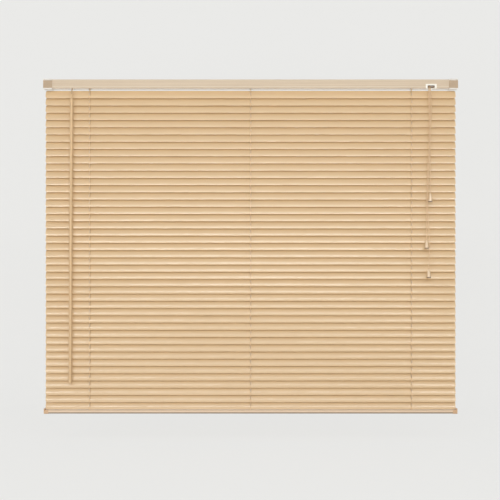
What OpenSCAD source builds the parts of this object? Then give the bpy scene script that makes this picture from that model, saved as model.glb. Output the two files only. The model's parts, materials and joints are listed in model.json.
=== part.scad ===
// Slatted blind with a wand tilter and a cord lock, hung in two box brackets.
// Millimetres. +Z is up, the room is towards -Y and the tilt wand is at -X.
// The origin is the middle of the four top fixing holes, on the brackets' top faces.
// The slats are drawn closed, with their room-side edges down.

/* [Blind] */
// Width over the two brackets
blind_w = 1200; // [1050:1:1700]
// Number of slats
slat_count = 44; // [10:1:44]
// Spacing of the slats down the ladders
slat_pitch = 21; // [17:0.5:26]
// Distance of the outer ladders from the ends of the blind
ladder_inset = 133; // [125:1:170]

/* [Slats] */
// Width of a slat, front to back
slat_w = 25; // [20:0.5:32]
// Thickness of a slat
slat_t = 0.6; // [0.4:0.1:1]
// Height of a slat's crown
slat_crown = 2; // [1:0.1:3]
// Radius of a slat's corners
slat_corner_r = 5; // [2:0.5:8]
// Gap between a slat's end and the outer face of the bracket
slat_end_gap = 5; // [3:0.5:12]
// Tilt of a closed slat from level
closed_tilt = 67; // [55:1:70]
// Size of a cord slot along the slat
slot_w = 3.6; // [3.2:0.1:6]
// Size of a cord slot across the slat
slot_l = 10; // [9:0.5:14]

/* [Headrail] */
// Depth of the headrail, front to back
rail_d = 25; // [24:0.5:34]
// Height of the headrail
rail_h = 26; // [25:0.5:34]
// Sheet thickness of the headrail
rail_t = 0.8; // [0.6:0.1:1.2]
// Width of the headrail's two inward lips
rail_lip = 4; // [2:0.5:5]
// Gap between the headrail and the closed first slat
first_slat_gap = 3.8; // [3:0.1:12]

/* [Brackets] */
// Width of a box bracket
bracket_w = 26; // [22:1:36]
// Sheet thickness of a bracket
bracket_t = 1; // [0.8:0.1:1.6]
// Radius of a fixing hole
fixing_r = 2.1; // [1.5:0.1:2.6]
// Spacing of the two holes in each face of a bracket
fixing_spacing = 12; // [10:0.5:15]
// Outer radius of the gate's hinge knuckles
knuckle_r = 1.7; // [1.5:0.1:2.5]
// Radius of the gate's hinge pin
gate_pin_r = 0.8; // [0.6:0.1:1]
// Radius of the rolled lip along the gate's lower edge
gate_lip_r = 1.5; // [1:0.1:2.5]

/* [Tilt mechanism] */
// Depth of the tilt rod's axis below the top faces
rod_drop = 8.5; // [8:0.1:9.5]
// Radius of the hexagonal tilt rod over its corners
rod_r = 2.2; // [1.8:0.1:2.4]
// Radius of a ladder drum
drum_r = 4.4; // [4.2:0.1:4.6]
// Length of a ladder drum
drum_l = 10; // [7:0.5:14]
// Radius of a drum's journals
journal_r = 3.2; // [3:0.1:3.4]
// Thickness of a cradle's base and cheeks
cradle_t = 1.5; // [1.2:0.1:2]
// Distance of the tilter from the end of the blind
tilter_inset = 83; // [60:1:95]
// Width of the tilter's housing
tilter_w = 18; // [14:1:24]
// Angle of the tilter's stem from the vertical
stem_angle = 40; // [38:1:42]
// Radius of the stem
stem_r = 1.8; // [1.5:0.1:1.9]
// Radius of the worm over its thread
worm_r = 2.6; // [2.3:0.1:2.8]
// Radius of the worm wheel
wheel_r = 4.1; // [3.8:0.1:4.6]
// Teeth on the worm wheel
wheel_teeth = 16; // [12:1:20]

/* [Wand] */
// Radius of the wand
wand_r = 3.9; // [3:0.1:5]
// Length of the wand's stick
wand_l = 823; // [300:1:1200]
// Lean of the wand towards -X at its foot, in degrees
wand_lean = 0.3; // [0:0.1:1]
// Free space between the wand and the open slats
wand_clear = 3; // [2:0.5:8]
// Radius of the hole in the hook's ring and in the stem's eye
eye_r = 2.25; // [2.1:0.05:3]
// Radius of the wire of the hook and of the eye
wire_r = 0.85; // [0.7:0.05:1]

/* [Cord lock] */
// Distance of the cord lock from the end of the blind
lock_inset = 77.8; // [60:0.1:82]
// Width of the lock's front frame
bezel_w = 31.5; // [30:0.5:40]
// Height of the lock's front frame
bezel_h = 13.8; // [12:0.1:16]
// Thickness of the lock's front frame
bezel_t = 1.5; // [1:0.1:2]
// Width of the slot that the cords leave by
lock_slot_w = 20.6; // [18:0.2:24]
// Height of the lock's body above the headrail's floor
lock_h = 18.4; // [16:0.1:20]
// Wall of the lock's body
lock_wall = 1.2; // [1:0.1:1.6]
// Radius of the locking roller
roller_r = 2.5; // [2:0.1:2.8]

/* [Cords] */
// Radius of a lift cord
cord_r = 0.9; // [0.7:0.05:1]
// Radius of a ladder cord
ladder_r = 0.7; // [0.5:0.05:0.9]
// Length of a tassel
tassel_l = 25; // [18:1:40]
// Radius of a tassel's foot
tassel_r = 6; // [4:0.5:9]

/* [Bottom rail] */
// Depth of the bottom rail, front to back
foot_d = 25; // [20:0.5:30]
// Height of the bottom rail
foot_h = 10; // [9:0.5:16]
// Wall of the bottom rail
foot_t = 1.2; // [0.8:0.1:1.6]
// Distance of the end caps' faces inside the brackets' faces
foot_end_gap = 1.6; // [1:0.1:6]
// Width of an end cap
cap_w = 13; // [9:0.5:20]
// Wall of an end cap
cap_t = 0.8; // [0.6:0.1:1.4]
// Height that a cap's outer flange stands above the cap
cap_rim = 4.2; // [1:0.1:5]

/* [Hidden] */
$fn = 48;

// Clearances
seat_gap = 0.3;    // between pieces that rest on or run in each other
fit_gap = 0.1;     // between pieces that push together
cord_gap = 0.5;    // between a slat's edge and its ladder cord
lane_gap = 1;      // between a cord and the edge of an opening that it runs through
through = 1;       // how far a cut runs past what it cuts

// Places of the headrail, the rod and the slats
rail_top_z = -bracket_t - seat_gap;
rail_bottom_z = rail_top_z - rail_h;
rail_floor_z = rail_bottom_z + rail_t;
rail_in_y = rail_d / 2 - rail_t;
rail_flat_y = rail_in_y - rail_t;
rail_l = blind_w - 2 * (bracket_t + seat_gap);
rod_z = -rod_drop;
stations = [-blind_w / 2 + ladder_inset, 0, blind_w / 2 - ladder_inset];
slat_l = blind_w - 2 * slat_end_gap;
slat_bend_r = (pow(slat_w / 2, 2) + pow(slat_crown, 2)) / (2 * slat_crown);
slat_sweep_r = norm([slat_w / 2, (slat_crown + slat_t) / 2]);
edge_rise = slat_w / 2 * sin(closed_tilt);
edge_dip = (slat_crown + slat_t) / 2 * cos(closed_tilt);
edge_out = slat_w / 2 * cos(closed_tilt);
crown_out = (slat_crown + slat_t) / 2 * sin(closed_tilt);
first_slat_z = rail_bottom_z - first_slat_gap - edge_rise + edge_dip - slat_t;
last_slat_z = slat_z(slat_count);
ladder_front_y = -edge_out + crown_out - slat_t * sin(closed_tilt) - cord_gap - ladder_r;
ladder_rear_y = edge_out + crown_out + cord_gap + ladder_r;

// The bottom rail hangs just below the closed last slat
foot_top_z = last_slat_z - edge_rise - edge_dip - seat_gap;
foot_z = foot_top_z - cap_t - foot_h / 2;
foot_l = blind_w - 2 * (foot_end_gap + cap_t + seat_gap);
foot_corner_r = 2.5;

// Gates hang from knuckles along the brackets' top front edges
bracket_in_y = rail_d / 2 + seat_gap;
bracket_bottom_z = rail_bottom_z - seat_gap - bracket_t;
gate_axis_y = -bracket_in_y - knuckle_r - fit_gap;
gate_axis_z = -knuckle_r;
knuckle_l = bracket_w / 4;

// The stem's line passes the rod below its wheel and leaves by the rail's floor
stem_dir = [0, -sin(stem_angle), -cos(stem_angle)];
shaft_gap = wheel_r + worm_r + seat_gap;
rod_above = rod_z - rail_floor_z;
stem_exit_y = -(rod_above * sin(stem_angle) - shaft_gap) / cos(stem_angle);
stem_exit = [-blind_w / 2 + tilter_inset, stem_exit_y, rail_floor_z];
worm_along = rod_above * cos(stem_angle) - stem_exit_y * sin(stem_angle);
wand_y = -max(slat_sweep_r, rail_d / 2) - wand_clear - wand_r;
stem_l = (stem_exit[1] - wand_y) / sin(stem_angle);
wand_joint = stem_exit + stem_l * stem_dir;
wheel_l = 6;
tooth_gap_r = 0.45;
worm_l = 7;
worm_ridges = 4;
stub_l = 2;
nose_r = stem_r + 1.4;
nose_l = 1.6;
nose_reach = 6;
ring_r = eye_r + wire_r;
link_step = wire_r + 0.65;

// The wand's stick starts below its hook
shank_l = 9;
tip_r = wand_r + 0.5;
wand_top = ring_r * 2 + wire_r - link_step + shank_l;

// The lock's body fills the rail's corner behind its front frame
lock_x = blind_w / 2 - lock_inset;
lock_body_w = bezel_w - 2;
lock_top_z = rail_floor_z + lock_h;
bezel_bottom_z = rail_bottom_z - bezel_t;
bezel_y = -rail_d / 2 - bezel_t;
bezel_band = 4.2;
roller_y = -rail_d / 2 + 7;
roller_z = rail_floor_z + 5;
lock_foot_y = roller_y + 3;
window_top_z = bezel_bottom_z + bezel_h - 1;
roller_l = lock_slot_w - 2 * seat_gap;
roller_pin_r = 1;
roller_pin_l = 2;

// Lift cords run over the cradles' bases in lanes, climb into the lock and pass over its roller
bend_r = 4;
run_z = rail_floor_z + cradle_t + seat_gap + cord_r;
climb_z = roller_z + roller_r + seat_gap + cord_r;
over_r = roller_r + seat_gap + cord_r;
leave_angle = 143;
climb_end = lock_x - lock_body_w / 2 - 4;
climb_start = climb_end - 16;
lane_from = 12;
lane_to = 30;
run_lanes = [3, -3, 0];
lock_lanes = [5, 0, 2.5];
exit_xs = [lock_x - 2.2, lock_x - 7.2, lock_x - 4.7];
exit_y = bezel_y;
exit_z = roller_z + over_r * sin(leave_angle)
  - (roller_y + over_r * cos(leave_angle) - exit_y) / tan(180 - leave_angle);

// Free cord below the lock, from where it leaves the front frame to the top of its tassel
free_routes = [
  [[0, -0.9, -1.6], [0, -1.5, -4], [0.2, -1.9, -9], [1.2, -2.4, -28], [2.4, -2.9, -54],
   [1.6, -3.4, -84], [-0.6, -3.9, -116], [-1.8, -4.4, -148], [-2.2, -4.7, -180], [-1.6, -4.9, -210],
   [-1, -5.2, -240], [-1, -5.5, -268], [-1.4, -5.5, -290], [-1.6, -5.5, -302], [-1.6, -5.5, -307.5]],
  [[0, -0.9, -1.6], [0, -1.5, -4], [-0.2, -1.9, -9], [-0.6, -2.2, -34], [0.6, -2.6, -68],
   [1.2, -3, -104], [0.4, -3.4, -146], [-1.4, -3.8, -190], [-3.4, -4.2, -236], [-5, -4.5, -284],
   [-6, -4.8, -332], [-6.5, -5.2, -378], [-6.8, -5.5, -416], [-6.8, -5.5, -434], [-6.8, -5.5, -442.2]],
  [[0, -0.9, -1.6], [0, -1.6, -4], [0, -2.4, -9], [-0.8, -5.2, -36], [0.4, -6.4, -74],
   [1, -7, -116], [0, -7.4, -162], [-2.2, -7.8, -212], [-5, -8.5, -264], [-6.4, -8.9, -322],
   [-5.8, -9, -366], [-3, -9.4, -410], [-1.4, -9.6, -456], [-3.2, -8.2, -500], [-3.6, -7.4, -526.7]]];
knot_r = 2;
knot_l = 4;
knot_end_r = 0.6;
knot_taper = 0.5;

function slat_name(i) = str("slat_", i < 10 ? "0" : "", i);
function slat_z(i) = first_slat_z - slat_pitch * (i - 1);
function unit(v) = v / norm(v);

// Frame of a swept ring: no route here runs along Y
function ring_point(at, dir, r, a) =
  let (u = unit(cross(dir, [0, 1, 0])), v = cross(u, dir))
  at + r * (cos(a) * u + sin(a) * v);
function route_dir(p, i) =
  unit(p[min(i + 1, len(p) - 1)] - p[max(i - 1, 0)]);

// Arc of a route about a centre, from one angle to another in the plane of u and v
function bend(centre, r, u, v, from, to, steps) =
  [for (k = [0 : steps]) let (a = from + (to - from) * k / steps) centre + r * (cos(a) * u + sin(a) * v)];

module tube(route, radii, sides = 8) {
  rings = len(route);
  points = [for (i = [0 : rings - 1], k = [0 : sides - 1])
    ring_point(route[i], route_dir(route, i), radii[i], 360 * (k + 0.5) / sides)];
  skin = [for (i = [0 : rings - 2], k = [0 : sides - 1])
    let (a = i * sides + k, b = i * sides + (k + 1) % sides)
    [a, b, b + sides, a + sides]];
  ends = [[for (k = [sides - 1 : -1 : 0]) k], [for (k = [0 : sides - 1]) (rings - 1) * sides + k]];
  polyhedron(points, concat(skin, ends), convexity = 10);
}

// A box by its two corners
module block(low, high) {
  translate(low) cube(high - low);
}

// A round bar from one point along a direction in the YZ plane, leaning by angle from straight down
module leaning(at, angle, from, to, r) {
  translate(at) rotate([180 - angle, 0, 0]) translate([0, 0, from]) cylinder(h = to - from, r = r);
}

// A round bar along X
module bar_x(from, to, y, z, r, sides = $fn) {
  translate([from, y, z]) rotate([0, 90, 0]) cylinder(h = to - from, r = r, $fn = sides);
}

module rounded_outline(l, w, r) {
  square([l - 2 * r, w], center = true);
  square([l, w - 2 * r], center = true);
  for (x = [-1, 1], y = [-1, 1]) translate([x * (l / 2 - r), y * (w / 2 - r)]) circle(r);
}

module slot_outline(l, w) {
  square([l, w - l], center = true);
  for (y = [-1, 1]) translate([0, y * (w - l) / 2]) circle(l / 2);
}

module slat(i) {
  color("tan") translate([0, 0, slat_z(i)]) rotate([closed_tilt, 0, 0]) intersection() {
    translate([-slat_l / 2, 0, slat_crown / 2 - slat_bend_r]) rotate([90, 0, 90])
      linear_extrude(slat_l) difference() {
        circle(slat_bend_r + slat_t / 2, $fn = 96);
        circle(slat_bend_r - slat_t / 2, $fn = 96);
      }
    translate([0, 0, -slat_crown]) linear_extrude(2 * slat_crown) difference() {
      rounded_outline(slat_l, slat_w, slat_corner_r);
      for (x = stations) translate([x, 0]) slot_outline(slot_w, slot_l);
    }
  }
}

module headrail() {
  lock_half = lock_body_w / 2 + seat_gap;
  ladder_gap = 3;
  color("burlywood") difference() {
    translate([-rail_l / 2, 0, rail_top_z - rail_h / 2]) rotate([90, 0, 90])
      linear_extrude(rail_l) difference() {
        rounded_outline(rail_d, rail_h, 2 * rail_t);
        rounded_outline(rail_d - 2 * rail_t, rail_h - 2 * rail_t, rail_t);
        translate([0, rail_h / 2]) square([2 * (rail_in_y - rail_lip), 4 * rail_t], center = true);
      }
    for (x = stations) block(
      [x - drum_l / 2, ladder_front_y - ladder_gap, rail_bottom_z - through],
      [x + drum_l / 2, ladder_rear_y + ladder_gap, rail_floor_z + through]);
    leaning(stem_exit, stem_angle, -nose_reach, nose_reach, nose_r + seat_gap);
    block([lock_x - lock_half, -rail_d, rail_bottom_z - through],
      [lock_x + lock_half, lock_foot_y + seat_gap, window_top_z]);
  }
}

// The right-hand bracket; the left one is its mirror
module bracket() {
  outer = blind_w / 2;
  inner = outer - bracket_w;
  mid = outer - bracket_w / 2;
  rear = bracket_in_y + bracket_t;
  mid_z = bracket_bottom_z / 2;
  hole_l = bracket_t + 2 * through;
  pin_seat = 1;
  difference() {
    union() {
      block([inner, -bracket_in_y, -bracket_t], [outer, rear, 0]);
      block([inner, bracket_in_y, bracket_bottom_z], [outer, rear, 0]);
      block([inner, -bracket_in_y, bracket_bottom_z], [outer, rear, bracket_bottom_z + bracket_t]);
      block([outer - bracket_t, -bracket_in_y, bracket_bottom_z], [outer, rear, 0]);
      for (x = [inner, outer - knuckle_l]) {
        bar_x(x, x + knuckle_l, gate_axis_y, gate_axis_z, knuckle_r);
        block([x, gate_axis_y, -bracket_t], [x + knuckle_l, 0, 0]);
      }
    }
    for (step = [-fixing_spacing / 2, fixing_spacing / 2]) {
      translate([mid, step, -bracket_t - through]) cylinder(h = hole_l, r = fixing_r);
      translate([mid, bracket_in_y - through, mid_z + step]) rotate([-90, 0, 0])
        cylinder(h = hole_l, r = fixing_r);
      bar_x(outer - bracket_t - through, outer + through, step, mid_z, fixing_r);
    }
  }
  bar_x(inner + knuckle_l - pin_seat, outer - knuckle_l + pin_seat, gate_axis_y, gate_axis_z, gate_pin_r);
}

module mounting_brackets() {
  color("wheat") {
    bracket();
    mirror([1, 0, 0]) bracket();
  }
}

module bracket_gate() {
  outer = blind_w / 2;
  inner = outer - bracket_w;
  from = inner + knuckle_l + seat_gap;
  to = outer - knuckle_l - seat_gap;
  plate_top = gate_axis_z - knuckle_r - seat_gap;
  lip_z = bracket_bottom_z - gate_lip_r + bracket_t;
  difference() {
    union() {
      bar_x(from, to, gate_axis_y, gate_axis_z, knuckle_r);
      block([from, -bracket_in_y - bracket_t, plate_top - through], [to, -bracket_in_y, gate_axis_z]);
      block([inner, -bracket_in_y - bracket_t, lip_z], [outer, -bracket_in_y, plate_top]);
      bar_x(inner, outer, -bracket_in_y - gate_lip_r, lip_z, gate_lip_r);
    }
    bar_x(from - through, to + through, gate_axis_y, gate_axis_z, gate_pin_r + fit_gap);
  }
}

module bracket_gate_left() { color("burlywood") mirror([1, 0, 0]) bracket_gate(); }
module bracket_gate_right() { color("burlywood") bracket_gate(); }

// A cradle stands on the rail's floor and carries one drum between its cheeks
module cradle(x) {
  half = rail_flat_y;
  cheek = drum_l / 2 + seat_gap;
  base_l = 2 * (cheek + cradle_t);
  base_top_z = rail_floor_z + cradle_t;
  lift_half = cord_r + lane_gap;
  lanes_half = max(run_lanes) + lift_half;
  ladder_half = ladder_r + lane_gap;
  difference() {
    union() {
      block([x - base_l / 2, -half, rail_floor_z], [x + base_l / 2, half, base_top_z]);
      for (from = [x - cheek - cradle_t, x + cheek])
        block([from, -half, rail_floor_z], [from + cradle_t, half, rod_z + journal_r]);
    }
    bar_x(x - base_l, x + base_l, 0, rod_z, journal_r + fit_gap);
    for (from = [x - cheek - cradle_t, x + cheek])
      block([from - through, -lanes_half, run_z - cord_r - seat_gap],
        [from + cradle_t + through, lanes_half, run_z + lift_half]);
    block([x - lift_half, -lift_half, rail_floor_z - through],
      [x + bend_r + lane_gap, lift_half, base_top_z + through]);
    for (y = [ladder_front_y, ladder_rear_y])
      block([x - ladder_half, y - ladder_half, rail_floor_z - through],
        [x + ladder_half, y + ladder_half, base_top_z + through]);
  }
}

module tilter_housing() {
  half = rail_flat_y;
  x = stem_exit[0];
  wheel_half = wheel_l / 2 + seat_gap;
  worm_half = worm_l / 2 + seat_gap;
  difference() {
    union() {
      block([x - tilter_w / 2, -half, rail_floor_z],
        [x + tilter_w / 2, half, rail_top_z - rail_t - seat_gap]);
      leaning(stem_exit, stem_angle, -nose_reach, nose_l, nose_r);
    }
    bar_x(x - tilter_w, x + tilter_w, 0, rod_z, journal_r + fit_gap);
    bar_x(x - wheel_half, x + wheel_half, 0, rod_z, wheel_r + seat_gap);
    leaning(stem_exit, stem_angle, -worm_along - worm_half, worm_half - worm_along, worm_r + seat_gap);
    leaning(stem_exit, stem_angle, -worm_along - worm_half - stub_l, nose_l + through, stem_r + fit_gap);
  }
}

module rod_carriers() {
  color("white") {
    for (x = stations) cradle(x);
    tilter_housing();
  }
}

module tilter_worm() {
  worm_top = -worm_along - worm_l / 2;
  ridge_pitch = worm_l / worm_ridges;
  eye_at = stem_l + link_step - ring_r;
  color("ivory") {
    leaning(stem_exit, stem_angle, worm_top - stub_l, eye_at - ring_r, stem_r);
    for (k = [0 : worm_ridges - 1])
      leaning(stem_exit, stem_angle, worm_top + ridge_pitch * k, worm_top + ridge_pitch * (k + 0.5), worm_r);
    translate(stem_exit + eye_at * stem_dir) rotate([0, 90, 0])
      rotate_extrude() translate([ring_r, 0]) circle(wire_r);
  }
}

module drum(x) {
  difference() {
    union() {
      bar_x(x - drum_l / 2, x + drum_l / 2, 0, rod_z, drum_r);
      bar_x(x - drum_l / 2 - seat_gap - cradle_t, x + drum_l / 2 + seat_gap + cradle_t, 0, rod_z, journal_r);
    }
    bar_x(x - drum_l, x + drum_l, 0, rod_z, rod_r + fit_gap, 6);
  }
}

module worm_wheel(x) {
  difference() {
    union() {
      bar_x(x - wheel_l / 2, x + wheel_l / 2, 0, rod_z, wheel_r);
      bar_x(x - tilter_w / 2, x + tilter_w / 2, 0, rod_z, journal_r);
    }
    bar_x(x - tilter_w, x + tilter_w, 0, rod_z, rod_r + fit_gap, 6);
    translate([0, 0, rod_z]) for (k = [0 : wheel_teeth - 1]) rotate([360 * (k + 0.5) / wheel_teeth, 0, 0])
      bar_x(x - wheel_l, x + wheel_l, 0, wheel_r, tooth_gap_r);
  }
}

module tilt_rod_and_drums() {
  color("silver") bar_x(stem_exit[0] - tilter_w / 2 - 4, stations[2] + drum_l / 2 + 6, 0, rod_z, rod_r, 6);
  color("white") {
    for (x = stations) drum(x);
    worm_wheel(stem_exit[0]);
  }
}

// The stick hangs from a hook whose ring is linked with the stem's eye
module tilt_wand() {
  color("tan") translate(wand_joint) rotate([0, wand_lean, 0]) {
    translate([0, 0, link_step - ring_r]) rotate([90, 0, 0])
      rotate_extrude() translate([ring_r, 0]) circle(wire_r);
    translate([0, 0, -wand_top - wand_r]) cylinder(h = wand_r + shank_l + wire_r, r = stem_r);
    translate([0, 0, -wand_top - wand_r]) sphere(wand_r);
    translate([0, 0, tip_r - wand_top - wand_l]) cylinder(h = wand_l - tip_r - wand_r, r = wand_r);
    translate([0, 0, tip_r - wand_top - wand_l]) sphere(tip_r);
  }
}

// The lock's hollow is open to the cords' lanes and to the slot in its front frame
module cord_lock() {
  half = rail_flat_y;
  body = [lock_x - lock_body_w / 2, lock_x + lock_body_w / 2];
  frame = [lock_x - bezel_w / 2, lock_x + bezel_w / 2];
  slot = [lock_x - lock_slot_w / 2, lock_x + lock_slot_w / 2];
  frame_top_z = bezel_bottom_z + bezel_h;
  lift_half = cord_r + lane_gap;
  pin_reach = roller_pin_l + seat_gap;
  color("ivory") difference() {
    union() {
      block([body[0], -half, rail_floor_z], [body[1], half, lock_top_z]);
      block([body[0], bezel_y, bezel_bottom_z], [body[1], lock_foot_y, window_top_z - seat_gap]);
      block([frame[0], bezel_y, bezel_bottom_z], [frame[1], -rail_d / 2, frame_top_z]);
      block([frame[0], bezel_y, bezel_bottom_z], [frame[1], lock_foot_y, rail_bottom_z]);
    }
    block([slot[0], lock_wall - half, rail_floor_z + lock_wall],
      [slot[1], half - lock_wall, lock_top_z - lock_wall]);
    block([slot[0], bezel_y - through, bezel_bottom_z - through],
      [slot[1], lock_foot_y - lock_wall, frame_top_z - bezel_band]);
    block([body[0] - through, min(lock_lanes) - lift_half, climb_z - lift_half],
      [slot[0] + through, max(lock_lanes) + lift_half, climb_z + lift_half]);
    bar_x(slot[0] - pin_reach, slot[1] + pin_reach, roller_y, roller_z, roller_pin_r + fit_gap);
  }
}

module lock_roller() {
  from = lock_x - roller_l / 2;
  to = lock_x + roller_l / 2;
  color("silver") {
    bar_x(from, to, roller_y, roller_z, roller_r);
    bar_x(from - roller_pin_l, to + roller_pin_l, roller_y, roller_z, roller_pin_r);
  }
}

// A ladder's cord runs from its drum, past the slats' edges, to the bottom rail
module ladder_cords(y, drum_side) {
  below = rail_bottom_z - 4;
  color("moccasin") for (x = stations) tube(
    [[x, y, foot_top_z - cap_t + seat_gap], [x, y, below], [x, (y + drum_side) / 2, (below + rod_z) / 2],
     [x, drum_side, rod_z - 2], [x, drum_side, rod_z]],
    [for (k = [0 : 4]) ladder_r]);
}

module ladder_front_cords() { ladder_cords(ladder_front_y, -drum_r - seat_gap - ladder_r); }
module ladder_rear_cords() { ladder_cords(ladder_rear_y, drum_r + seat_gap + ladder_r); }

// Route of a lift cord from the bottom rail: cradle, headrail, lock and roller
function held_route(k) =
  let (x = stations[k], lane = run_lanes[k], lock_lane = lock_lanes[k], out = exit_xs[k])
  concat(
    bend([x + bend_r, 0, run_z - bend_r], bend_r, [1, 0, 0], [0, 0, 1], 180, 90, 3),
    k == 2 ? [] : [[x + lane_from, 0, run_z], [x + lane_to, lane, run_z]],
    [[climb_start, lane, run_z], [climb_end, lock_lane, climb_z]],
    bend([out - bend_r, lock_lane - bend_r, climb_z], bend_r, [0, 1, 0], [1, 0, 0], 0, 90, 3),
    bend([out, roller_y, roller_z], over_r, [0, 1, 0], [0, 0, 1], 90, leave_angle, 2),
    [[out, exit_y, exit_z]]);
function free_route(k) = [for (p = free_routes[k]) [exit_xs[k], exit_y, exit_z] + p];
function free_end(k) = free_route(k)[len(free_routes[k]) - 1];
function foot_knot(k) =
  let (top = [stations[k], 0, foot_top_z - cap_t - foot_t - knot_taper])
  [for (drop = [knot_l + knot_taper, knot_l, knot_taper, 0]) top - [0, 0, drop]];
function tassel_knot(k) =
  [for (drop = [knot_taper, knot_l, knot_l + knot_taper]) free_end(k) - [0, 0, drop]];

module lift_cords() {
  color("moccasin") for (k = [0 : 2]) {
    cord = concat(held_route(k), free_route(k));
    tube(concat(foot_knot(k), cord, tassel_knot(k)),
      concat([knot_end_r, knot_r, knot_r, cord_r], [for (p = cord) cord_r], [knot_r, knot_r, knot_end_r]));
  }
}

module tassel(at) {
  wall = 1.2;
  neck_r = cord_r + 1.4;
  translate(at + [0, 0, 2]) rotate_extrude() difference() {
    polygon([[0, 0], [neck_r, 0], [neck_r + 0.4, -2.5], [tassel_r - 1.6, -10], [tassel_r - 0.8, 5 - tassel_l],
      [tassel_r, 3 - tassel_l], [tassel_r, -tassel_l], [0, -tassel_l]]);
    translate([0, -2.2]) square([cord_r + seat_gap, 4.4]);
    polygon([[0, -1.7], [cord_r + seat_gap, -1.7], [knot_r + seat_gap, -2.6],
      [knot_r + seat_gap + 0.2, -8], [tassel_r - wall, 3 - tassel_l],
      [tassel_r - wall, -tassel_l - through], [0, -tassel_l - through]]);
  }
}

module cord_tassels() {
  color("tan") for (k = [0 : 2]) tassel(free_end(k));
}

module bottom_rail() {
  color("burlywood") difference() {
    translate([-foot_l / 2, 0, foot_z]) rotate([90, 0, 90]) linear_extrude(foot_l) difference() {
      rounded_outline(foot_d, foot_h, foot_corner_r);
      rounded_outline(foot_d - 2 * foot_t, foot_h - 2 * foot_t, foot_corner_r - foot_t);
    }
    for (x = stations) translate([x, 0, foot_z]) cylinder(h = foot_h, r = cord_r + seat_gap);
  }
}

// The right-hand cap; the left one is its mirror
module foot_cap() {
  outer = blind_w / 2 - foot_end_gap;
  inner = outer - cap_w;
  rim_w = foot_end_gap + cap_t;
  sleeve_d = foot_d + 2 * cap_t;
  sleeve_h = foot_h + 2 * cap_t;
  color("tan") difference() {
    union() {
      translate([inner, 0, foot_z]) rotate([90, 0, 90]) linear_extrude(cap_w)
        rounded_outline(sleeve_d, sleeve_h, foot_corner_r + cap_t);
      translate([outer - rim_w, 0, foot_z + cap_rim / 2]) rotate([90, 0, 90]) linear_extrude(rim_w)
        rounded_outline(sleeve_d, sleeve_h + cap_rim, foot_corner_r + cap_t);
    }
    translate([inner - through, 0, foot_z]) rotate([90, 0, 90])
      linear_extrude(foot_l / 2 + fit_gap - inner + through)
        rounded_outline(foot_d + 2 * fit_gap, foot_h + 2 * fit_gap, foot_corner_r + fit_gap);
  }
}

module bottom_rail_caps() {
  foot_cap();
  mirror([1, 0, 0]) foot_cap();
}

headrail();
mounting_brackets();
bracket_gate_left();
bracket_gate_right();
rod_carriers();
tilter_worm();
tilt_rod_and_drums();
tilt_wand();
cord_lock();
lock_roller();
ladder_front_cords();
ladder_rear_cords();
lift_cords();
cord_tassels();
bottom_rail();
bottom_rail_caps();
for (i = [1 : slat_count]) {
  slat(i);
}
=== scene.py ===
import json
import math
import bpy
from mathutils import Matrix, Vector


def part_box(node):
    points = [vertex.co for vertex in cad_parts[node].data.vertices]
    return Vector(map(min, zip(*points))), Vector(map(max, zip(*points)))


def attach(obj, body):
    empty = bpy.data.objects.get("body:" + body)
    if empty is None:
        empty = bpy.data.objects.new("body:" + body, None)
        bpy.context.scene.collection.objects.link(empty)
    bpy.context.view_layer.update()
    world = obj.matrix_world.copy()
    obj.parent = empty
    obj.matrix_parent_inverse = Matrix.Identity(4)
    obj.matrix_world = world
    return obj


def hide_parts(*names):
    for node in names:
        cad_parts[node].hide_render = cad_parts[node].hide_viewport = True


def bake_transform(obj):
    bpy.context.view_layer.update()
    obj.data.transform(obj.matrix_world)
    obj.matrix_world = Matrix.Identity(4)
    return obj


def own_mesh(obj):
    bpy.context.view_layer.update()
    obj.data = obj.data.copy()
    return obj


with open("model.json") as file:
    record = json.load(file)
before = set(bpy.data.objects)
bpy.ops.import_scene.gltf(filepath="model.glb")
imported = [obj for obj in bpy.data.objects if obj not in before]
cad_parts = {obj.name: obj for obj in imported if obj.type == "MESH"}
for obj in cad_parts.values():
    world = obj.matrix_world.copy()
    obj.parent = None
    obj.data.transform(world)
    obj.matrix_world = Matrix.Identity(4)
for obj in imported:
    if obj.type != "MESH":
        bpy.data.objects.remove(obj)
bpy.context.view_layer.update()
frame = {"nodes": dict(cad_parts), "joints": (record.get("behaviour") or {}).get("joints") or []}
nodes = frame["nodes"]
collection = bpy.context.scene.collection
bpy.context.scene.view_settings.view_transform = "Standard"


def mm(x, y, z):
    return Vector((x, y, z)) / 1000


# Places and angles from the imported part, in millimetres and radians
joints = {joint["name"]: joint for joint in frame["joints"]}


def jointPlace(name):
    return Vector(joints[name]["pos_m"]) * 1000


slatCount = sum(name.startswith("slat_") for name in nodes)
firstSlatZ = jointPlace("slat_01_tilt").z
lastSlatZ = jointPlace(f"slat_{slatCount}_tilt").z
slatPitch = (firstSlatZ - lastSlatZ) / (slatCount - 1)
fullTilt = math.radians(joints["slat_01_tilt"]["range_deg"][1])
closedTilt = fullTilt / 2
rodZ = jointPlace("rod_spin").z
roller = jointPlace("roller_spin")
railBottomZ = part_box("headrail")[0].z * 1000
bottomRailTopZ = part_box("bottom_rail")[1].z * 1000

# Sizes that only the part's source gives, in millimetres
slatWidth, slatCrown, slatThickness = 25, 2, 0.6
slatBend = ((slatWidth / 2) ** 2 + slatCrown ** 2) / (2 * slatCrown)
stations = (-467, 0, 467)
ladderY = {"front": -5.44, "rear": 7.281}
drumSide = 5.4


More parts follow.
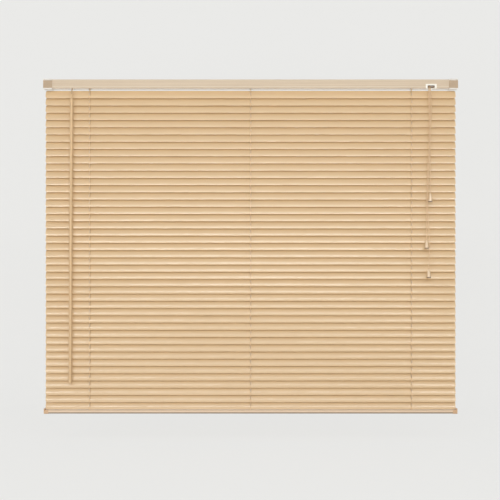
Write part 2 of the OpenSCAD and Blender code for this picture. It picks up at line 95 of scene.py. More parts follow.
# Camera: level, at the height of the blind's lower middle, with the view shifted up
cameraLook = {"eye": mm(0, -3012.5, -606), "lens": 74.66, "shift": (-0.0012, 0.0765)}
cameraData = bpy.data.cameras.new("camera")
cameraData.lens = cameraLook["lens"]
cameraData.sensor_width = 36
cameraData.shift_x, cameraData.shift_y = cameraLook["shift"]
cameraData.clip_end = 50
camera = bpy.data.objects.new("camera", cameraData)
camera.location = cameraLook["eye"]
camera.rotation_euler = (math.radians(90), 0, 0)
collection.objects.link(camera)
bpy.context.scene.camera = camera
print("camera is set")


# Shader groups and materials

def addNode(tree, kind, **settings):
    node = tree.nodes.new(kind)
    for name, value in settings.items():
        setattr(node, name, value)
    return node


def setInputs(node, **values):
    for name, value in values.items():
        node.inputs[name.replace("_", " ")].default_value = value
    return node


def newGroup(name, inputs, outputs):
    group = bpy.data.node_groups.new(name, "ShaderNodeTree")
    for socket, value in inputs.items():
        kind = "NodeSocketColor" if isinstance(value, tuple) else "NodeSocketFloat"
        made = group.interface.new_socket(socket, in_out="INPUT", socket_type=kind)
        made.default_value = value
    for socket, kind in outputs.items():
        group.interface.new_socket(socket, in_out="OUTPUT", socket_type=kind)
    return group, addNode(group, "NodeGroupInput"), addNode(group, "NodeGroupOutput")


def makeGrainGroup():
    # Fine lines along X, as rolled paint and extruded plastic have
    group, given, out = newGroup(
        "rolledGrain",
        {"Lines per metre": 900.0, "Length": 0.02, "Contrast": 0.5},
        {"Height": "NodeSocketFloat", "Mask": "NodeSocketFloat"},
    )
    links = group.links
    place = addNode(group, "ShaderNodeTexCoord")
    stretch = addNode(group, "ShaderNodeCombineXYZ")
    links.new(given.outputs["Length"], stretch.inputs["X"])
    stretch.inputs["Y"].default_value = 1
    stretch.inputs["Z"].default_value = 1
    scaled = addNode(group, "ShaderNodeVectorMath", operation="MULTIPLY")
    links.new(place.outputs["Object"], scaled.inputs[0])
    links.new(stretch.outputs["Vector"], scaled.inputs[1])
    lines = setInputs(addNode(group, "ShaderNodeTexNoise"), Detail=3.0, Roughness=0.6)
    links.new(scaled.outputs["Vector"], lines.inputs["Vector"])
    links.new(given.outputs["Lines per metre"], lines.inputs["Scale"])
    centred = addNode(group, "ShaderNodeMath", operation="SUBTRACT")
    links.new(lines.outputs["Fac"], centred.inputs[0])
    centred.inputs[1].default_value = 0.5
    spread = addNode(group, "ShaderNodeMath", operation="MULTIPLY_ADD", use_clamp=True)
    links.new(centred.outputs["Value"], spread.inputs[0])
    links.new(given.outputs["Contrast"], spread.inputs[1])
    spread.inputs[2].default_value = 0.5
    links.new(lines.outputs["Fac"], out.inputs["Height"])
    links.new(spread.outputs["Value"], out.inputs["Mask"])
    return group


def makeMottleGroup():
    # Slow change of tone over a piece, with small specks in it
    group, given, out = newGroup(
        "mottledTone",
        {"Base": (1.0, 1.0, 1.0, 1.0), "Deep": (0.5, 0.5, 0.5, 1.0), "Patches per metre": 6.0,
         "Specks per metre": 700.0, "Amount": 0.5},
        {"Color": "NodeSocketColor", "Speck": "NodeSocketFloat"},
    )
    links = group.links
    place = addNode(group, "ShaderNodeTexCoord")
    patches = setInputs(addNode(group, "ShaderNodeTexNoise"), Detail=2.0)
    specks = setInputs(addNode(group, "ShaderNodeTexNoise"), Detail=4.0, Roughness=0.7)
    for texture, socket in ((patches, "Patches per metre"), (specks, "Specks per metre")):
        links.new(place.outputs["Object"], texture.inputs["Vector"])
        links.new(given.outputs[socket], texture.inputs["Scale"])
    both = setInputs(addNode(group, "ShaderNodeMix", data_type="FLOAT"), Factor=0.35)
    links.new(patches.outputs["Fac"], both.inputs["A"])
    links.new(specks.outputs["Fac"], both.inputs["B"])
    amount = addNode(group, "ShaderNodeMath", operation="MULTIPLY", use_clamp=True)
    links.new(both.outputs["Result"], amount.inputs[0])
    links.new(given.outputs["Amount"], amount.inputs[1])
    tone = addNode(group, "ShaderNodeMix", data_type="RGBA")
    links.new(amount.outputs["Value"], tone.inputs[0])
    links.new(given.outputs["Base"], tone.inputs[6])
    links.new(given.outputs["Deep"], tone.inputs[7])
    links.new(tone.outputs[2], out.inputs["Color"])
    links.new(specks.outputs["Fac"], out.inputs["Speck"])
    return group


def makeBraidGroup():
    # Two crossing families of strands round a cord, laid out by its UV map
    group, given, out = newGroup(
        "braid", {"Strands": 4.0, "Twist": 0.35},
        {"Height": "NodeSocketFloat", "Mask": "NodeSocketFloat"},
    )
    links = group.links
    place = addNode(group, "ShaderNodeTexCoord")
    parts = addNode(group, "ShaderNodeSeparateXYZ")
    links.new(place.outputs["UV"], parts.inputs[0])
    waves = []
    for sign in (1, -1):
        around = addNode(group, "ShaderNodeMath", operation="MULTIPLY")
        links.new(parts.outputs["Y"], around.inputs[0])
        links.new(given.outputs["Twist"], around.inputs[1])
        turned = addNode(group, "ShaderNodeMath", operation="MULTIPLY_ADD")
        links.new(around.outputs["Value"], turned.inputs[0])
        turned.inputs[1].default_value = sign
        links.new(parts.outputs["X"], turned.inputs[2])
        counted = addNode(group, "ShaderNodeMath", operation="MULTIPLY")
        links.new(turned.outputs["Value"], counted.inputs[0])
        links.new(given.outputs["Strands"], counted.inputs[1])
        wave = addNode(group, "ShaderNodeMath", operation="PINGPONG")
        links.new(counted.outputs["Value"], wave.inputs[0])
        wave.inputs[1].default_value = 0.5
        waves.append(wave)
    upper = addNode(group, "ShaderNodeMath", operation="MAXIMUM")
    for slot, wave in enumerate(waves):
        links.new(wave.outputs["Value"], upper.inputs[slot])
    doubled = addNode(group, "ShaderNodeMath", operation="MULTIPLY", use_clamp=True)
    links.new(upper.outputs["Value"], doubled.inputs[0])
    doubled.inputs[1].default_value = 2
    links.new(doubled.outputs["Value"], out.inputs["Height"])
    links.new(doubled.outputs["Value"], out.inputs["Mask"])
    return group


def makePaintedLightBandGroup():
    # A soft level band round a piece, where a painted highlight or painted shade is laid on its colour
    group, given, out = newGroup(
        "paintedLightBand", {"Level": 0.0, "Half height": 0.002, "Strength": 0.5}, {"Mask": "NodeSocketFloat"})
    links = group.links
    place = addNode(group, "ShaderNodeTexCoord")
    parts = addNode(group, "ShaderNodeSeparateXYZ")
    links.new(place.outputs["Object"], parts.inputs[0])
    off = addNode(group, "ShaderNodeMath", operation="SUBTRACT")
    links.new(parts.outputs["Z"], off.inputs[0])
    links.new(given.outputs["Level"], off.inputs[1])
    away = addNode(group, "ShaderNodeMath", operation="ABSOLUTE")
    links.new(off.outputs["Value"], away.inputs[0])
    band = addNode(group, "ShaderNodeMapRange", interpolation_type="SMOOTHSTEP")
    links.new(away.outputs["Value"], band.inputs["Value"])
    links.new(given.outputs["Half height"], band.inputs["From Max"])
    setInputs(band, To_Min=1.0, To_Max=0.0)
    strong = addNode(group, "ShaderNodeMath", operation="MULTIPLY", use_clamp=True)
    links.new(band.outputs["Result"], strong.inputs[0])
    links.new(given.outputs["Strength"], strong.inputs[1])
    links.new(strong.outputs["Value"], out.inputs["Mask"])
    return group


grainGroup = makeGrainGroup()
paintedLightBandGroup = makePaintedLightBandGroup()
mottleGroup = makeMottleGroup()
braidGroup = makeBraidGroup()


def layOver(tree, colour, tint, share, kind="MIX"):
    # Lays a tint over a colour; the tint and its share are each a socket or a plain value
    mix = addNode(tree, "ShaderNodeMix", data_type="RGBA", blend_type=kind)
    tree.links.new(colour, mix.inputs[6])
    for given, socket in ((share, mix.inputs[0]), (tint, mix.inputs[7])):
        if isinstance(given, bpy.types.NodeSocket):
            tree.links.new(given, socket)
        else:
            socket.default_value = given
    return mix.outputs[2]


def addGrain(tree, colour, grain):
    lines = addNode(tree, "ShaderNodeGroup", node_tree=grainGroup)
    setInputs(lines, Lines_per_metre=grain["lines"], Length=grain["length"], Contrast=grain["contrast"])
    streaked = layOver(tree, colour, lines.outputs["Mask"], grain["tint"], "SOFT_LIGHT")
    return streaked, lines.outputs["Height"]


def addPaintedLightBand(tree, colour, level, halfHeight, strength, tint):
    band = addNode(tree, "ShaderNodeGroup", node_tree=paintedLightBandGroup)
    setInputs(band, Level=level, Half_height=halfHeight, Strength=strength)
    return layOver(tree, colour, (*tint, 1), band.outputs["Mask"])


def addBraid(tree, colour, braid):
    strands = addNode(tree, "ShaderNodeGroup", node_tree=braidGroup)
    setInputs(strands, Strands=braid["strands"], Twist=braid["twist"])
    shaded = layOver(tree, colour, strands.outputs["Mask"], braid["shade"], "MULTIPLY")
    return shaded, strands.outputs["Height"]


def newMaterial(name, look):
    # look: colour, deep, roughness, and what differs from the plain values here
    look = {"metallic": 0.0, "coat": 0.0, "coatRoughness": 0.2, "specular": 0.5, "patches": 6.0,
            "specks": 700.0, "amount": 0.5, "grain": None, "paintedLightBands": (), "braid": None, "bump": 0.15,
            "speckRoughness": 0.12, **look}
    material = bpy.data.materials.new(name)
    material.use_nodes = True
    tree = material.node_tree
    tree.nodes.clear()
    links = tree.links
    tone = addNode(tree, "ShaderNodeGroup", node_tree=mottleGroup)
    setInputs(tone, Base=(*look["colour"], 1), Deep=(*look["deep"], 1), Patches_per_metre=look["patches"],
              Specks_per_metre=look["specks"], Amount=look["amount"])
    colour, height = tone.outputs["Color"], tone.outputs["Speck"]
    if look["grain"]:
        colour, height = addGrain(tree, colour, look["grain"])
    # Each band lays a painted highlight or painted shade over the colour
    for band in look["paintedLightBands"]:
        colour = addPaintedLightBand(tree, colour, *band)
    if look["braid"]:
        colour, height = addBraid(tree, colour, look["braid"])
    rough = addNode(tree, "ShaderNodeMapRange")
    setInputs(rough, To_Min=look["roughness"] - look["speckRoughness"] / 2,
              To_Max=look["roughness"] + look["speckRoughness"] / 2)
    links.new(tone.outputs["Speck"], rough.inputs["Value"])
    bump = setInputs(addNode(tree, "ShaderNodeBump"), Strength=look["bump"], Distance=0.0003)
    links.new(height, bump.inputs["Height"])
    shader = addNode(tree, "ShaderNodeBsdfPrincipled")
    setInputs(shader, Metallic=look["metallic"], Coat_Weight=look["coat"],
              Coat_Roughness=look["coatRoughness"], Specular_IOR_Level=look["specular"])
    links.new(colour, shader.inputs["Base Color"])
    links.new(rough.outputs["Result"], shader.inputs["Roughness"])
    links.new(bump.outputs["Normal"], shader.inputs["Normal"])
    out = addNode(tree, "ShaderNodeOutputMaterial")
    links.new(shader.outputs["BSDF"], out.inputs["Surface"])
    return material


slatLook = {"colour": (0.76, 0.543, 0.31), "deep": (0.665, 0.455, 0.245), "roughness": 0.42, "coat": 0.68,
            "coatRoughness": 0.13, "amount": 0.55, "patches": 9.0, "bump": 0.10,
            "grain": {"lines": 700.0, "length": 0.02, "contrast": 1.2, "tint": 0.10}}
headrailLook = {"colour": (0.64, 0.507, 0.356), "deep": (0.567, 0.435, 0.295), "roughness": 0.4, "coat": 0.1,
                "bump": 0.12, "grain": {"lines": 420.0, "length": 0.006, "contrast": 2.2, "tint": 0.18},
                # Painted light on the headrail: a painted highlight along the top edge, a fainter painted
                # highlight on a low rib, painted shade along the lower front edge and a bright painted
                # highlight on the bottom edge
                "paintedLightBands": (
                    (-0.002, 0.0022, 0.7, (0.80, 0.72, 0.62)), (-0.0225, 0.002, 0.45, (0.80, 0.70, 0.56)),
                    (-0.0265, 0.0016, 0.3, (0.42, 0.33, 0.25)), (-0.0273, 0.0006, 1.5, (0.95, 0.90, 0.83)))}
bracketLook = {"colour": (0.90, 0.87, 0.80), "deep": (0.83, 0.79, 0.71), "roughness": 0.34, "coat": 0.2}
gateLook = {"colour": (0.45, 0.32, 0.195), "deep": (0.40, 0.272, 0.16), "roughness": 0.36, "coat": 0.15,
            # The gate's two bands are painted highlights on its folded top and bottom lips
            "paintedLightBands": ((-0.0012, 0.0046, 1.6, (0.92, 0.89, 0.83)), (-0.0296, 0.0040, 1.6, (0.92, 0.89, 0.83)))}
mechanismLook = {"colour": (0.80, 0.78, 0.72), "deep": (0.70, 0.67, 0.60), "roughness": 0.45}
lockLook = {"colour": (0.92, 0.88, 0.78), "deep": (0.86, 0.81, 0.70), "roughness": 0.3, "coat": 0.25}
steelLook = {"colour": (0.62, 0.61, 0.60), "deep": (0.45, 0.44, 0.43), "roughness": 0.34, "metallic": 1.0,
             "grain": {"lines": 1500.0, "length": 0.05, "contrast": 1.5, "tint": 0.3}}
wandLook = {"colour": (0.79, 0.555, 0.32), "deep": (0.68, 0.465, 0.25), "roughness": 0.45, "specular": 0.35,
            "patches": 14.0, "bump": 0.05}
rollerLook = {**steelLook, "colour": (0.34, 0.27, 0.22), "deep": (0.22, 0.17, 0.14)}
hookLook = {"colour": (0.50, 0.36, 0.22), "deep": (0.38, 0.26, 0.15), "roughness": 0.35, "coat": 0.3}
cordLook = {"colour": (0.86, 0.62, 0.39), "deep": (0.74, 0.50, 0.29), "roughness": 0.85, "specular": 0.15,
            "bump": 0.25, "braid": {"strands": 4.0, "twist": 0.3, "shade": 0.3}}
ladderLook = {**cordLook, "colour": (0.98, 0.72, 0.43), "deep": (0.90, 0.64, 0.36), "specular": 0.08,
              "bump": 0.12, "braid": {"strands": 4.0, "twist": 0.3, "shade": 0.12}}
# The held cords are painted darker than the pull cords: painted shade for the cords seen through the slats'
# slots
heldCordShadeLook = {**cordLook, "colour": (0.50, 0.36, 0.22), "deep": (0.40, 0.27, 0.15)}
tasselLook = {"colour": (0.86, 0.66, 0.45), "deep": (0.78, 0.57, 0.36), "roughness": 0.3, "coat": 0.3}
# Painted shade for the lowest ring of each tassel's foot
tasselFootShadeLook = {**tasselLook, "colour": (0.26, 0.17, 0.10), "deep": (0.20, 0.12, 0.07)}
bottomRailLook = {"colour": (0.86, 0.66, 0.465), "deep": (0.77, 0.575, 0.39), "roughness": 0.36, "coat": 0.15,
                  "grain": {"lines": 600.0, "length": 0.01, "contrast": 1.2, "tint": 0.12},
                  # Painted shade on the bottom rail: a dark band along its lower edge and a weaker one just
                  # under its top, below the last slat
                  "paintedLightBands": ((-0.9695, 0.0068, 3.0, (0.37, 0.27, 0.185)),
                            (-0.9591, 0.0026, 0.55, (0.64, 0.45, 0.29)))}
capLook = {"colour": (0.68, 0.44, 0.25), "deep": (0.60, 0.37, 0.20), "roughness": 0.34, "coat": 0.25}

slatPlastic = newMaterial("slatPlastic", slatLook)
headrailPaint = newMaterial("headrailPaint", headrailLook)
bracketPaint = newMaterial("bracketPaint", bracketLook)
gatePaint = newMaterial("gatePaint", gateLook)
mechanismPlastic = newMaterial("mechanismPlastic", mechanismLook)
lockPlastic = newMaterial("lockPlastic", lockLook)
hookPlastic = newMaterial("hookPlastic", hookLook)
rollerSteel = newMaterial("rollerSteel", rollerLook)
plainSteel = newMaterial("plainSteel", steelLook)
wandPlastic = newMaterial("wandPlastic", wandLook)
cordFibre = newMaterial("cordFibre", cordLook)
ladderFibre = newMaterial("ladderFibre", ladderLook)
heldFibreShade = newMaterial("heldFibreShade", heldCordShadeLook)
tasselPlastic = newMaterial("tasselPlastic", tasselLook)
tasselFootShade = newMaterial("tasselFootShade", tasselFootShadeLook)
bottomRailPlastic = newMaterial("bottomRailPlastic", bottomRailLook)
capPlastic = newMaterial("capPlastic", capLook)
print("materials are made")


# Meshes

def newObject(name, mesh, body, material):
    piece = bpy.data.objects.new(name, mesh)
    collection.objects.link(piece)
    if not mesh.materials:
        mesh.materials.append(material)
    if body:
        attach(piece, body)
    return piece


def smoothRoute(points, steps):
    # A curve through every point, by Catmull and Rom's rule
    points = [Vector(p) for p in points]
    ends = [2 * points[0] - points[1]] + points + [2 * points[-1] - points[-2]]
    route = []
    for a, b, c, d in zip(ends, ends[1:], ends[2:], ends[3:]):
        for k in range(steps):
            t = k / steps
            route.append(0.5 * (2 * b + (c - a) * t + (2 * a - 5 * b + 4 * c - d) * t * t
                                + (3 * b - a - 3 * c + d) * t ** 3))
    return route + [points[-1]]


def tubeRings(route, radii, sides):
    # One ring of points at each step of the route, turned as little as the bends allow
    rings = []
    side = None
    for i, point in enumerate(route):
        ahead = (route[min(i + 1, len(route) - 1)] - route[max(i - 1, 0)]).normalized()
        if side is None:
            side = ahead.cross(Vector((0, 1, 0)) if abs(ahead.y) < 0.9 else Vector((1, 0, 0)))
        side = (side - side.dot(ahead) * ahead).normalized()
        other = ahead.cross(side)
        for k in range(sides):
            turn = 2 * math.pi * k / sides
            rings.append(point + radii[i] * (math.cos(turn) * side + math.sin(turn) * other))
    return rings


def tubeMesh(name, tubes, sides=10):
    # tubes: a list of (route, radii); the UV map runs round and along each tube
    vertices, faces, coordinates = [], [], []
    for route, radii in tubes:
        start = len(vertices)
        vertices += tubeRings(route, radii, sides)
        girth = 2 * math.pi * max(radii)
        along = 0.0
        for i, (here, there) in enumerate(zip(route, route[1:])):
            base = start + i * sides
            low, along = along, along + (there - here).length / girth
            for k in range(sides):
                after = (k + 1) % sides
                faces.append((base + k, base + after, base + sides + after, base + sides + k))
                coordinates.append(((k / sides, low), ((k + 1) / sides, low),
                                    ((k + 1) / sides, along), (k / sides, along)))
        last = start + (len(route) - 1) * sides
        faces.append(tuple(start + k for k in reversed(range(sides))))
        faces.append(tuple(last + k for k in range(sides)))
        coordinates += [tuple((0.0, 0.0) for _ in range(sides)), tuple((0.0, along) for _ in range(sides))]
    mesh = bpy.data.meshes.new(name)
    mesh.from_pydata(vertices, [], faces)
    layer = mesh.uv_layers.new(name="along")
    layer.data.foreach_set("uv", [x for face in coordinates for corner in face for x in corner])
    mesh.polygons.foreach_set("use_smooth", [True] * len(mesh.polygons))
    mesh.update()
    return mesh


def latheMesh(name, centre, outline, turns=32):
    # outline: a list of (radius, height) round an upright axis, closed at both ends
    vertices, faces = [], []
    for radius, height in outline:
        for k in range(turns):
            turn = 2 * math.pi * k / turns
            vertices.append(centre + mm(radius * math.cos(turn), radius * math.sin(turn), height))
    for i in range(len(outline) - 1):
        base = i * turns
        for k in range(turns):
            after = (k + 1) % turns
            faces.append((base + k, base + turns + k, base + turns + after, base + after))
    last = (len(outline) - 1) * turns
    faces.append(tuple(range(turns)))
    faces.append(tuple(last + k for k in reversed(range(turns))))
    mesh = bpy.data.meshes.new(name)
    mesh.from_pydata(vertices, [], faces)
    mesh.polygons.foreach_set("use_smooth", [True] * len(mesh.polygons))
    mesh.update()
    return mesh


# Pull cords: each hangs from the lock's slot to its tassel
pullCord = {"radius": 0.9, "exitXs": (520, 515, 517.5), "exitY": -14, "exitZ": -26.632}
pullRoutes = (
    ((0, -0.9, -1.6), (0, -1.5, -4), (0.2, -1.9, -9), (1.2, -2.4, -28), (2.4, -2.9, -54),
     (1.6, -3.4, -84), (-0.6, -3.9, -116), (-1.8, -4.4, -148), (-2.2, -4.7, -180), (-1.6, -4.9, -210),
     (-1, -5.2, -240), (-1, -5.5, -268), (-1.4, -5.5, -290), (-1.6, -5.5, -302), (-1.6, -5.5, -307.5)),
    ((0, -0.9, -1.6), (0, -1.5, -4), (-0.2, -1.9, -9), (-0.6, -2.2, -34), (0.6, -2.6, -68),
     (1.2, -3, -104), (0.4, -3.4, -146), (-1.4, -3.8, -190), (-3.4, -4.2, -236), (-5, -4.5, -284),
     (-6, -4.8, -332), (-6.5, -5.2, -378), (-6.8, -5.5, -416), (-6.8, -5.5, -434), (-6.8, -5.5, -442.2)),
    ((0, -0.9, -1.6), (0, -1.6, -4), (0, -2.4, -9), (-0.8, -5.2, -36), (0.4, -6.4, -74),
     (1, -7, -116), (0, -7.4, -162), (-2.2, -7.8, -212), (-5, -8.5, -264), (-6.4, -8.9, -322),
     (-5.8, -9, -366), (-3, -9.4, -410), (-1.4, -9.6, -456), (-3.2, -8.2, -500), (-3.6, -7.4, -526.7)),
)
tasselSizes = {"length": 25, "foot": 6, "wall": 1.4, "rim": 2.3, "aboveKnot": 2}
knotLength = 4


def makeTassel(name, top):
    # A hollow bell on the cord, with a rolled foot whose lowest ring is painted shade; the cord's knot sits
    # inside
    length, foot = tasselSizes["length"], tasselSizes["foot"]
    neck = pullCord["radius"] + tasselSizes["wall"]
    outline = [(1.1, 0), (neck - 0.5, 0), (neck, -0.5), (neck + 0.4, -2.5), (neck + 0.5, -3.2),
               (foot - 2.1, -7), (foot - 1.6, -10), (foot - 1.05, -15), (foot - 0.8, 5 - length),
               (foot - 0.2, 3.4 - length), (foot, 2.6 - length), (foot, 0.7 - length),
               (foot - 0.5, -length), (foot - 1.0, -length), (foot - 1.3, 0.5 - length),
               (foot - 1.6, 4 - length), (2.6, -8), (2.3, -2.6), (1.2, -1.8)]
    mesh = latheMesh(name, top, outline)
    tassel = newObject(name, mesh, "headrail", tasselPlastic)
    # The faces of the foot's lowest ring take the painted shade
    mesh.materials.append(tasselFootShade)
    rimTop = top.z + (tasselSizes["rim"] - length) / 1000
    for face in mesh.polygons:
        if face.center.z < rimTop:
            face.material_index = 1
    return tassel


def makeKnot(name, end):
    outline = [(0.3, -knotLength - 0.9), (1.3, -knotLength - 0.6), (1.9, -knotLength + 0.4),
               (1.6, -2.4), (1.95, -1.2), (1.2, -0.4), (0.9, 0)]
    return newObject(name, latheMesh(name, end, outline, 20), "headrail", cordFibre)


for k, offsets in enumerate(pullRoutes):
    letter = "ABC"[k]
    leave = mm(pullCord["exitXs"][k], pullCord["exitY"], pullCord["exitZ"])
    route = smoothRoute([leave] + [leave + mm(*p) for p in offsets], 6)
    radius = pullCord["radius"] / 1000
    cord = newObject("pullCord" + letter, tubeMesh("pullCord" + letter, [(route, [radius] * len(route))]),
                     "headrail", cordFibre)
    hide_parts("lift_cords")
    end = route[-1]
    tassel = makeTassel("tassel" + letter, end + mm(0, 0, tasselSizes["aboveKnot"]))
    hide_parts("cord_tassels")
    knot = makeKnot("pullKnot" + letter, end)
print("pull cords are made")


# Held lift cords: bottom rail, slats, cradle, headrail, lock and roller
heldCord = {"bend": 4, "runZ": -23.8, "climbZ": -17.8, "lanes": (3, -3, 0), "lockLanes": (5, 0, 2.5),
            "climb": (487.45, 503.45), "over": 3.7, "leaveAngle": 143, "foot": 2.5, "laneChange": (12, 30)}


def arc(centre, radius, u, v, start, end, steps):
    turns = [math.radians(start + (end - start) * k / steps) for k in range(steps + 1)]
    return [centre + radius * (math.cos(a) * Vector(u) + math.sin(a) * Vector(v)) for a in turns]


def heldRoute(k):
    x, out = stations[k], pullCord["exitXs"][k]
    lane, lockLane = heldCord["lanes"][k], heldCord["lockLanes"][k]
    bend, runZ, climbZ = heldCord["bend"], heldCord["runZ"], heldCord["climbZ"]
    laneFrom, laneTo = heldCord["laneChange"]
    points = [mm(x, 0, bottomRailTopZ - heldCord["foot"])]
    points += arc(mm(x + bend, 0, runZ - bend), bend / 1000, (1, 0, 0), (0, 0, 1), 180, 90, 6)
    if k < 2:
        points += [mm(x + laneFrom, 0, runZ), mm(x + laneTo, lane, runZ)]
    points += [mm(heldCord["climb"][0], lane, runZ), mm(heldCord["climb"][1], lockLane, climbZ)]
    points += arc(mm(out - bend, lockLane - bend, climbZ), bend / 1000, (0, 1, 0), (1, 0, 0), 0, 90, 6)
    points += arc(mm(out, roller.y, roller.z), heldCord["over"] / 1000, (0, 1, 0), (0, 0, 1), 90,
                  heldCord["leaveAngle"], 4)
    return points + [mm(out, pullCord["exitY"], pullCord["exitZ"])]


heldTubes = [(route, [pullCord["radius"] / 1000] * len(route)) for route in map(heldRoute, range(3))]
heldMesh = tubeMesh("heldLiftCords", heldTubes)
# The held cords take the painted shade material
heldCords = newObject("heldLiftCords", heldMesh, "headrail", heldFibreShade)
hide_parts("lift_cords")


# Ladders: one string down each edge of the slats at each station, with threads under every slat
ladder = {"radius": 0.5, "threadRadius": 0.3, "threadSpread": 1.1, "beadLength": 2.6, "footDepth": 0.7,
          "lap": 7}
edgeVector = {side: (jointPlace(f"ladder_{side}_shift") - jointPlace("slat_01_tilt")).yz for side in ladderY}
tailRings, loopRings, threadSteps, lapSteps = 12, 16, 16, 8
ladderFootZ = bottomRailTopZ - ladder["footDepth"]


def edgeZ(side, slatZ):
    return slatZ + edgeVector[side][1]


def loopTube(x, y, top, bottom):
    route = [mm(x, y, top + (bottom - top) * k / loopRings) for k in range(loopRings + 1)]
    return route, [ladder["radius"] / 1000] * len(route)


def ladderString(x, side):
    # Swells a little where each slat's threads are braided in
    route, radii = [], []
    half = ladder["beadLength"] / 2
    for i in range(slatCount):
        z = edgeZ(side, firstSlatZ - slatPitch * i)
        steps = ((half, 1.0), (half / 2, 1.3), (0, 1.5), (-half / 2, 1.3), (-half, 1.0))
        for step, swell in steps:
            if (i == 0 and step > 0) or (i == slatCount - 1 and step < 0):
                continue
            route.append(mm(x, ladderY[side], z + step))
            radii.append(ladder["radius"] * swell / 1000)
    return route, radii


for side, cadNode in (("front", "ladder_front_cords"), ("rear", "ladder_rear_cords")):
    name = side + "LadderStrings"
    mesh = tubeMesh(name, [ladderString(x, side) for x in stations], 8)
    strings = newObject(name, mesh, "ladder_" + side, ladderFibre)
    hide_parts(cadNode)


def restTail(name, tubes, *replaced):
    tail = newObject(name, tubeMesh(name, tubes, 8), None, ladderFibre)
    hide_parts(*replaced)
    return tail


def squashTail(name, fixed, moving, body, cadNode):
    tubes = []
    for x in stations:
        start, end = mm(x, *fixed), mm(x, *moving)
        route = [start.lerp(end, k / tailRings) for k in range(tailRings + 1)]
        tubes.append((route, [ladder["radius"] / 1000] * len(route)))
    tail = restTail(name, tubes, cadNode)
    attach(tail, body)
    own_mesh(tail)


squashTail("frontTopTails", (-drumSide, rodZ), (ladderY["front"], edgeZ("front", firstSlatZ)),
           "headrail", "ladder_front_cords")
squashTail("rearFootTails", (ladderY["rear"], ladderFootZ),
           (ladderY["rear"], edgeZ("rear", lastSlatZ)), "headrail", "ladder_rear_cords")
rearTurnZ = railBottomZ - 1
rearDrop = ((drumSide, rodZ), (drumSide, rodZ - 2), ((drumSide + ladderY["rear"]) / 2, -20),
            (ladderY["rear"], rearTurnZ))
rearTop = restTail(
    "rearTopTails",
    [([mm(x, *point) for point in rearDrop], [ladder["radius"] / 1000] * len(rearDrop)) for x in stations],
    "ladder_rear_cords")
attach(rearTop, "headrail")
rearLoop = restTail("rearTopLoops", [loopTube(x, ladderY["rear"], rearTurnZ, edgeZ("rear", firstSlatZ))
                                     for x in stations], "ladder_rear_cords")
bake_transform(rearLoop)
frontLoop = restTail("frontFootLoops", [loopTube(x, ladderY["front"], ladderFootZ, edgeZ("front", lastSlatZ))
                                        for x in stations], "ladder_front_cords")
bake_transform(frontLoop)


def onClosedSlat(y, z):
    # From a level slat's own y and z to those of the closed slat
    return (y * math.cos(closedTilt) - z * math.sin(closedTilt),
            y * math.sin(closedTilt) + z * math.cos(closedTilt))


def makeThreads():
    # Two threads run under a slat, one each side of the lift cord, and meet at both edges
    under = slatBend - slatThickness / 2 - ladder["threadRadius"] - 0.02
    endY = slatWidth / 2 + 0.35
    endZ = slatCrown / 2 - slatBend + math.sqrt(under ** 2 - endY ** 2)
    tubes = []
    for x in stations:
        for sign in (-1, 1):
            route, radii = [], []
            for k in range(threadSteps + 1):
                t = -1 + 2 * k / threadSteps
                spread = ladder["threadSpread"] * min(1, (1 - abs(t)) * 5) ** 0.5
                route.append(mm(x + sign * (0.25 + spread), *onClosedSlat(endY * t, endZ)))
                knotted = 0.35 if k in (0, threadSteps) else 0
                radii.append((ladder["threadRadius"] + knotted) / 1000)
            tubes.append((route, radii))
    return tubeMesh("slatThreads", tubes, 6)


def makeTopLaps():
    # The front strings' ends, where they lie on the first slat when it is level
    over = slatBend + slatThickness / 2 + ladder["threadRadius"] + 0.05
    route = []
    for k in range(lapSteps + 1):
        y = -slatWidth / 2 - 0.2 + ladder["lap"] * k / lapSteps
        lapY, lapZ = onClosedSlat(y, slatCrown / 2 - slatBend + math.sqrt(over ** 2 - y ** 2))
        route.append((lapY, firstSlatZ + lapZ))
    radii = [ladder["threadRadius"] / 1000] * len(route)
    tubes = [([mm(x, *point) for point in route], radii) for x in stations]
    laps = newObject("frontTopLaps", tubeMesh("frontTopLaps", tubes, 6), "slat_01", ladderFibre)
    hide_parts("ladder_front_cords")


makeTopLaps()
threadMesh = makeThreads()
for i in range(slatCount):
    threads = newObject(f"slatThreads{i + 1:02d}", threadMesh, None, ladderFibre)
    threads.location = mm(0, 0, firstSlatZ - slatPitch * i)
    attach(threads, f"slat_{i + 1:02d}")
print("ladders are made")


# CAD pieces that keep their shape
finishes = {
    "headrail": headrailPaint, "mounting_brackets": bracketPaint, "bracket_gate_left": gatePaint,
    "bracket_gate_right": gatePaint, "rod_carriers": mechanismPlastic, "tilter_worm": hookPlastic,
    "tilt_rod_and_drums": plainSteel, "tilt_wand": wandPlastic, "cord_lock": lockPlastic,
    "lock_roller": rollerSteel, "bottom_rail": bottomRailPlastic, "bottom_rail_caps": capPlastic,
}
finishes.update({f"slat_{i + 1:02d}": slatPlastic for i in range(slatCount)})
for name, material in finishes.items():
    for slot in nodes[name].material_slots:
        slot.material = material
softEdges = {"mounting_brackets": 0.25, "bracket_gate_left": 0.25, "bracket_gate_right": 0.25,
             "cord_lock": 0.35, "bottom_rail_caps": 0.3}
for name, width in softEdges.items():
    bevel = nodes[name].modifiers.new("softEdges", "BEVEL")
    bevel.width = width / 1000
    bevel.segments = 2
    bevel.limit_method = "ANGLE"
    bevel.angle_limit = math.radians(50)
    bevel.harden_normals = True
print("hard parts are dressed")


# Studio
studio = {"floorZ": -1.06, "backY": 1.4, "bend": 0.5, "reach": 7, "top": 5, "steps": 12,
          "pale": (0.855, 0.855, 0.84), "glow": 0.85}


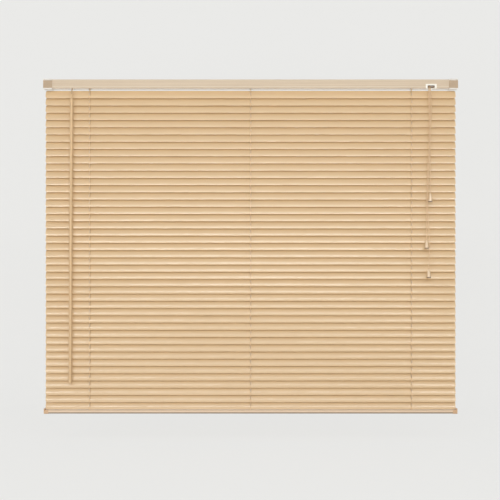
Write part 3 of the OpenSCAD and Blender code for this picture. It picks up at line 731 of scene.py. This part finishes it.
def seenRays(tree):
    # 1 for the rays that show the backdrop itself, 0 for those that light the object
    paths = addNode(tree, "ShaderNodeLightPath")
    direct = addNode(tree, "ShaderNodeMath", operation="ADD")
    tree.links.new(paths.outputs["Is Camera Ray"], direct.inputs[0])
    tree.links.new(paths.outputs["Is Glossy Ray"], direct.inputs[1])
    every = addNode(tree, "ShaderNodeMath", operation="ADD", use_clamp=True)
    tree.links.new(direct.outputs["Value"], every.inputs[0])
    tree.links.new(paths.outputs["Is Transmission Ray"], every.inputs[1])
    return every.outputs["Value"]


def makePaper():
    # Pale and even to the rays that show it, matt to the rest, and clear from behind
    material = bpy.data.materials.new("palePaper")
    material.use_nodes = True
    tree = material.node_tree
    tree.nodes.clear()
    links = tree.links
    share = addNode(tree, "ShaderNodeMath", operation="MULTIPLY")
    links.new(seenRays(tree), share.inputs[0])
    share.inputs[1].default_value = studio["glow"]
    matt = setInputs(addNode(tree, "ShaderNodeBsdfDiffuse"), Color=(*studio["pale"], 1))
    glow = setInputs(addNode(tree, "ShaderNodeEmission"), Color=(*studio["pale"], 1), Strength=1.0)
    blend = addNode(tree, "ShaderNodeMixShader")
    links.new(share.outputs["Value"], blend.inputs["Fac"])
    links.new(matt.outputs["BSDF"], blend.inputs[1])
    links.new(glow.outputs["Emission"], blend.inputs[2])
    clear = addNode(tree, "ShaderNodeBsdfTransparent")
    geometry = addNode(tree, "ShaderNodeNewGeometry")
    oneSided = addNode(tree, "ShaderNodeMixShader")
    links.new(geometry.outputs["Backfacing"], oneSided.inputs["Fac"])
    links.new(blend.outputs["Shader"], oneSided.inputs[1])
    links.new(clear.outputs["BSDF"], oneSided.inputs[2])
    out = addNode(tree, "ShaderNodeOutputMaterial")
    links.new(oneSided.outputs["Shader"], out.inputs["Surface"])
    return material


def makeSweep():
    # A floor that bends up into a wall; it shows from its front only, so views from behind see past it
    reach, bend, floorZ, backY = (studio[key] for key in ("reach", "bend", "floorZ", "backY"))
    profile = [(-reach, floorZ), (backY - bend, floorZ)]
    for k in range(1, studio["steps"] + 1):
        a = math.pi / 2 * k / studio["steps"]
        profile.append((backY - bend + bend * math.sin(a), floorZ + bend * (1 - math.cos(a))))
    profile.append((backY, studio["top"]))
    vertices = [(x, y, z) for y, z in profile for x in (-reach, reach)]
    faces = [(2 * i, 2 * i + 1, 2 * i + 3, 2 * i + 2) for i in range(len(profile) - 1)]
    mesh = bpy.data.meshes.new("studioSweep")
    mesh.from_pydata(vertices, [], faces)
    mesh.polygons.foreach_set("use_smooth", [True] * len(mesh.polygons))
    mesh.materials.append(makePaper())
    sweep = bpy.data.objects.new("studioSweep", mesh)
    collection.objects.link(sweep)


def makeWorld(strength):
    world = bpy.data.worlds.new("studioWorld")
    bpy.context.scene.world = world
    world.use_nodes = True
    tree = world.node_tree
    tree.nodes.clear()
    light = setInputs(addNode(tree, "ShaderNodeBackground"), Color=(1.0, 1.0, 1.0, 1), Strength=strength)
    view = setInputs(addNode(tree, "ShaderNodeBackground"), Color=(*studio["pale"], 1), Strength=1.0)
    choice = addNode(tree, "ShaderNodeMixShader")
    tree.links.new(seenRays(tree), choice.inputs["Fac"])
    tree.links.new(light.outputs["Background"], choice.inputs[1])
    tree.links.new(view.outputs["Background"], choice.inputs[2])
    out = addNode(tree, "ShaderNodeOutputWorld")
    tree.links.new(choice.outputs["Shader"], out.inputs["Surface"])


def addLamp(name, at, size, watts):
    data = bpy.data.lights.new(name, "AREA")
    data.shape = "RECTANGLE"
    data.size, data.size_y = size
    data.energy = watts
    lamp = bpy.data.objects.new(name, data)
    lamp.location = at
    lamp.rotation_euler = (Vector(lampTarget) - Vector(at)).to_track_quat("-Z", "Y").to_euler()
    lamp.visible_camera = False
    collection.objects.link(lamp)


worldStrength = 0.42
lampTarget = (0, 0, -0.5)
lamps = (
    {"name": "leftLamp", "at": (-0.8, -4.0, -0.9), "size": (2.6, 0.6), "watts": 34},
    {"name": "rightLamp", "at": (3.0, -3.0, -0.5), "size": (2.4, 2.4), "watts": 8},
    {"name": "stripLamp", "at": (0, -4.0, 1.2), "size": (4.6, 0.45), "watts": 70},
)
makeSweep()
makeWorld(worldStrength)
for lamp in lamps:
    addLamp(**lamp)
print("studio is lit")
